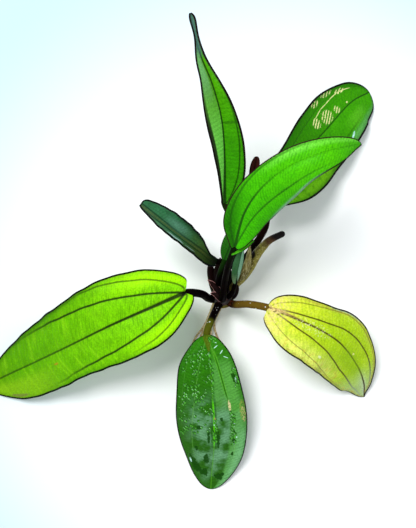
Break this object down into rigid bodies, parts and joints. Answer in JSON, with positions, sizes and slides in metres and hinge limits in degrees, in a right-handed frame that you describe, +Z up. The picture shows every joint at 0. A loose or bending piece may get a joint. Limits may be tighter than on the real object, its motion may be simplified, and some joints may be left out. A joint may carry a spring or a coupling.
{
  "type": "amazon sword plant",
  "caption": "Whole small amazon sword plant, lying on a surface: broad veined leaves on stalks that spread from one short dark crown, with a tuft of roots.",
  "frame": {"origin": "on the surface the plant lies on, under the middle of its bounding box", "axes": "+Z up from the surface, +Y from the roots towards the upright leaf, +X to the right as the plant is seen from above"},
  "size_m": [0.195, 0.2222, 0.0802],
  "materials": {
    "leaf_left": "waxy satin leaf blade, thin and letting light through, with darker veins and margin",
    "leaf_upright": "waxy satin leaf blade, thin and letting light through, with darker veins and margin",
    "leaf_front": "waxy satin leaf blade, thin and letting light through, with darker veins and margin",
    "leaf_back": "waxy satin leaf blade, thin and letting light through, with darker veins and margin",
    "leaf_small": "waxy satin leaf blade, thin and letting light through, with darker veins and margin",
    "leaf_low": "waxy satin leaf blade, thin and letting light through, with darker veins and margin",
    "leaf_yellow": "waxy satin leaf blade, thin and letting light through, with darker veins and margin",
    "young_leaf_red": "waxy satin leaf blade, thin and letting light through, with darker veins and margin",
    "young_leaf_pale": "waxy satin leaf blade, thin and letting light through, with darker veins and margin",
    "young_leaf_green": "waxy satin leaf blade, thin and letting light through, with darker veins and margin",
    "cut_stalk": "smooth olive stalk turning maroon at its end, papery sheath at the foot",
    "crown": "dark maroon, fibrous, slightly glossy where wet",
    "root": "pale tan, matt, fine fibrous"
  },
  "bodies": {
    "root": {"crown": "crown", "leaf_left": "leaf_left", "leaf_upright": "leaf_upright", "leaf_front": "leaf_front", "leaf_back": "leaf_back", "leaf_small": "leaf_small", "leaf_low": "leaf_low", "leaf_yellow": "leaf_yellow", "young_leaf_red": "young_leaf_red", "young_leaf_pale": "young_leaf_pale", "young_leaf_green": "young_leaf_green", "cut_stalk": "cut_stalk", "root_1": "root", "root_2": "root", "root_3": "root", "root_4": "root", "root_5": "root"}
  },
  "joints": []
}
